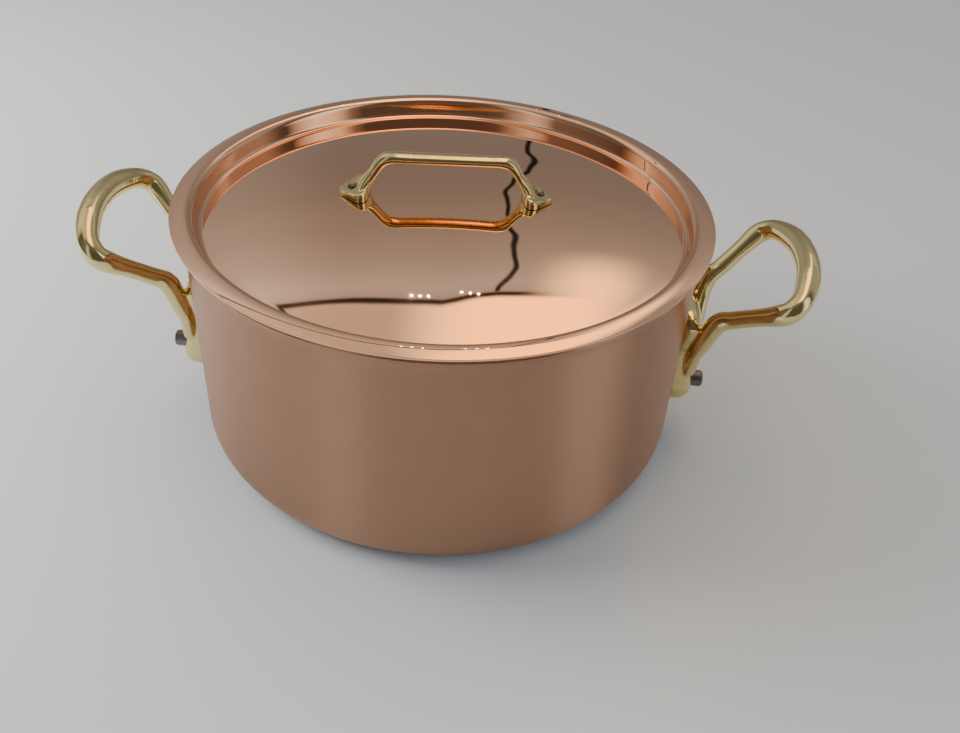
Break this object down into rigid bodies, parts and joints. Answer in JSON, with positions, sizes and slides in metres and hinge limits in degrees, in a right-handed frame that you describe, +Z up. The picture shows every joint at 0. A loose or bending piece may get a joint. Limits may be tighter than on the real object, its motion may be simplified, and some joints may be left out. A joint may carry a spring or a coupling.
{
  "type": "casserole pot",
  "caption": "Polished copper casserole pot with a steel lining, cast brass loop handles and a recessed copper lid with a brass bow handle",
  "frame": {"origin": "centre of the pot's flat bottom", "axes": "+X through the right side handle, +Z up along the pot's axis, the lid's rim level with XY"},
  "size_m": [0.3551, 0.254, 0.1467],
  "materials": {
    "copper": "mirror polished copper",
    "lining_steel": "satin stainless steel",
    "cast_brass": "polished cast brass",
    "rivet_steel": "dull grey steel"
  },
  "bodies": {
    "pot": {"pot_shell": "copper", "pot_lining": "lining_steel", "side_handle_left": "cast_brass", "side_handle_right": "cast_brass", "left_lower_rivet": "rivet_steel", "left_upper_rivet": "rivet_steel", "right_lower_rivet": "rivet_steel", "right_upper_rivet": "rivet_steel"},
    "lid": {"lid_shell": "copper", "lid_lining": "lining_steel", "lid_handle": "cast_brass", "lid_left_rivet": "rivet_steel", "lid_right_rivet": "rivet_steel"}
  },
  "joints": [
    {"name": "lid_lift", "type": "slide", "parent": "pot", "child": "lid", "axis": [0, 0, 1], "range_m": [0, 0.15]}
  ]
}
